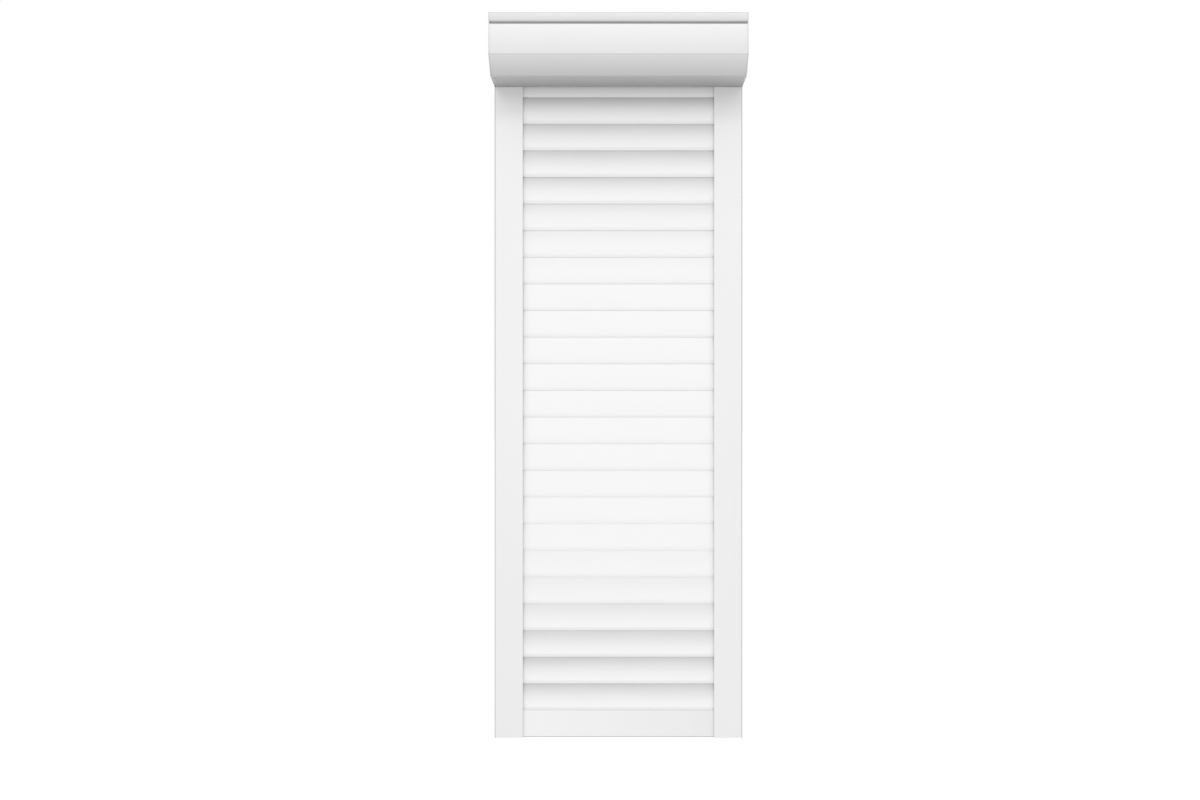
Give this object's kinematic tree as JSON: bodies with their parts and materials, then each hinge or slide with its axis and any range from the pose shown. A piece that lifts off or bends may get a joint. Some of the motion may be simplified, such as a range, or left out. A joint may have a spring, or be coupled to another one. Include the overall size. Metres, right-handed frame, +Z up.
{
  "type": "exterior roller shutter",
  "caption": "Front-mounted exterior roller shutter: bevelled box with winding shaft and tubular motor, side guide rails and a curtain of curved interlocking slats with a bottom bar.",
  "frame": {"origin": "on the window sill, at the middle of the shutter's width and of the box's depth", "axes": "+Z up, -Y out of the front into the open air, +Y into the wall, +X to the right as seen from outside; the wall is the plane y = 0.09 m"},
  "size_m": [0.8, 0.18, 2.28],
  "materials": {
    "box_coating": "satin",
    "rail_coating": "satin",
    "slat_coating": "satin",
    "galvanised_steel": "satin",
    "bearing_steel": "polished",
    "screw_steel": "satin",
    "spring_steel": "satin",
    "motor_steel": "gloss",
    "drive_unit": "matte",
    "black_plastic": "matte",
    "grey_plastic": "matte",
    "white_plastic": "matte",
    "seal_rubber": "matte"
  },
  "bodies": {
    "housing": {"box_rear_shell": "box_coating", "revision_cover": "box_coating", "cover_screws": "screw_steel", "side_cap_right": "box_coating", "side_cap_left": "box_coating", "cable_grommet": "seal_rubber", "bearing_holder": "galvanised_steel", "motor_bracket": "galvanised_steel", "bracket_screws": "screw_steel", "bearing_outer_ring": "bearing_steel", "bearing_balls": "bearing_steel", "motor_tube": "motor_steel", "motor_drive_unit": "drive_unit", "motor_head": "black_plastic", "rail_base_right": "rail_coating", "rail_base_left": "rail_coating", "rail_cover_right": "rail_coating", "rail_cover_left": "rail_coating", "rail_inserts": "seal_rubber", "rail_plugs": "white_plastic", "inlet_guide_right": "white_plastic", "inlet_guide_left": "white_plastic"},
    "shaft": {"shaft_tube": "galvanised_steel", "strap_rings": "grey_plastic", "idler_capsule": "grey_plastic", "idler_pin": "bearing_steel", "bearing_inner_ring": "bearing_steel", "crown_adapter": "grey_plastic", "drive_adapter": "grey_plastic", "output_pin": "bearing_steel", "spring_straps": "spring_steel"},
    "curtain": {"slat_01": "slat_coating", "slat_02": "slat_coating", "slat_03": "slat_coating", "slat_04": "slat_coating", "slat_05": "slat_coating", "slat_06": "slat_coating", "slat_07": "slat_coating", "slat_08": "slat_coating", "slat_09": "slat_coating", "slat_10": "slat_coating", "slat_11": "slat_coating", "slat_12": "slat_coating", "slat_13": "slat_coating", "slat_14": "slat_coating", "slat_15": "slat_coating", "slat_16": "slat_coating", "slat_17": "slat_coating", "slat_18": "slat_coating", "slat_19": "slat_coating", "slat_20": "slat_coating", "slat_21": "slat_coating", "slat_22": "slat_coating", "slat_23": "slat_coating", "slat_24": "slat_coating", "slat_end_locks": "white_plastic", "bottom_bar": "rail_coating", "bottom_seal": "seal_rubber", "bar_stops": "white_plastic"}
  },
  "joints": [
    {"name": "curtain_lift", "type": "slide", "parent": "housing", "child": "curtain", "axis": [0, 0, 1], "range_m": [0, 2.009], "deforming": ["slat_01", "slat_02", "slat_03", "slat_04", "slat_05", "slat_06", "slat_07", "slat_08", "slat_09", "slat_10", "slat_11", "slat_12", "slat_13", "slat_14", "slat_15", "slat_16", "slat_17", "slat_18", "slat_19", "slat_20", "slat_21", "slat_22", "slat_23", "slat_24", "slat_end_locks"]},
    {"name": "shaft_spin", "type": "hinge", "parent": "housing", "child": "shaft", "pos_m": [0, 0, 2.19], "axis": [1, 0, 0], "range_deg": [0, 1871], "deforming": ["spring_straps"]}
  ],
  "couplings": [
    {"joint": "shaft_spin", "follows": "curtain_lift", "rad_per_m": 16.25}
  ]
}
